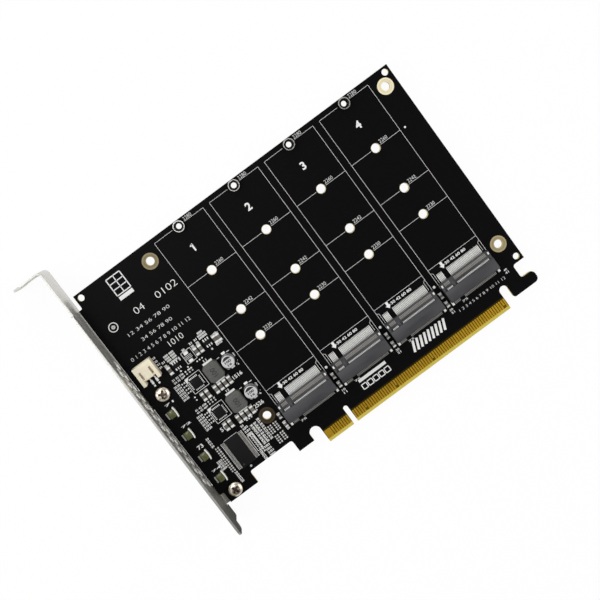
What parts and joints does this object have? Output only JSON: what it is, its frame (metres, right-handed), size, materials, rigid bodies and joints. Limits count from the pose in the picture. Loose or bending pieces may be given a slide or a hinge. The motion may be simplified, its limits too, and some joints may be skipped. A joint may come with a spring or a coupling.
{
  "type": "nvme adapter card",
  "caption": "Expansion card that carries solid-state drives side by side, with edge contacts, keyed drive sockets, standoffs, power parts, status lights and a vented steel bracket.",
  "frame": {"origin": "centre of the card-edge key notch, at the bottom edge of the contacts, on the component face of the board", "axes": "+X along the card away from the bracket; +Y up the card away from the contacts; +Z out of the component face"},
  "size_m": [0.1567, 0.12, 0.0185],
  "materials": {
    "board": "satin black solder mask over glass-fibre laminate",
    "gold": "hard gold plating",
    "ring": "bare plated copper",
    "socket_plastic": "moulded black high-temperature plastic",
    "tin": "tin-plated copper with solder",
    "standoff": "nickel-plated brass",
    "bracket_steel": "nickel-plated steel sheet",
    "screw": "nickel-plated steel, slightly warm",
    "ivory_plastic": "ivory nylon",
    "package": "moulded black epoxy",
    "inductor": "pressed grey iron powder",
    "can": "bright aluminium",
    "white_plastic": "white moulded plastic",
    "lens": "clear olive resin over a dark pad",
    "chip": "ceramic with tinned ends"
  },
  "bodies": {
    "root": {"bracket": "bracket_steel", "bracket_screw_lower": "screw", "bracket_screw_upper": "screw", "can_capacitor_1": "can", "can_capacitor_2": "can", "can_capacitor_base_1": "package", "can_capacitor_base_2": "package", "circuit_board": "board", "clock_buffer_body": "package", "clock_buffer_leads": "tin", "contacts_component_side": "gold", "contacts_solder_side": "gold", "converter_1": "package", "converter_2": "package", "fan_connector_housing": "ivory_plastic", "fan_connector_pins": "tin", "fan_fuse": "chip", "inductor_1": "inductor", "inductor_2": "inductor", "monitor_chip_bodies": "package", "monitor_chip_leads": "tin", "mounting_rings": "ring", "power_capacitors_1": "chip", "power_capacitors_2": "chip", "power_terminals": "tin", "slot_capacitors": "chip", "small_chips": "chip", "socket_1_contacts": "tin", "socket_1_housing": "socket_plastic", "socket_2_contacts": "tin", "socket_2_housing": "socket_plastic", "socket_3_contacts": "tin", "socket_3_housing": "socket_plastic", "socket_4_contacts": "tin", "socket_4_housing": "socket_plastic", "standoff_1": "standoff", "standoff_2": "standoff", "standoff_3": "standoff", "standoff_4": "standoff", "status_light_1": "lens", "status_light_2": "lens", "status_light_3": "lens", "status_light_4": "lens", "status_light_housings": "white_plastic", "status_light_terminals": "tin", "upper_capacitors": "chip"}
  },
  "joints": []
}
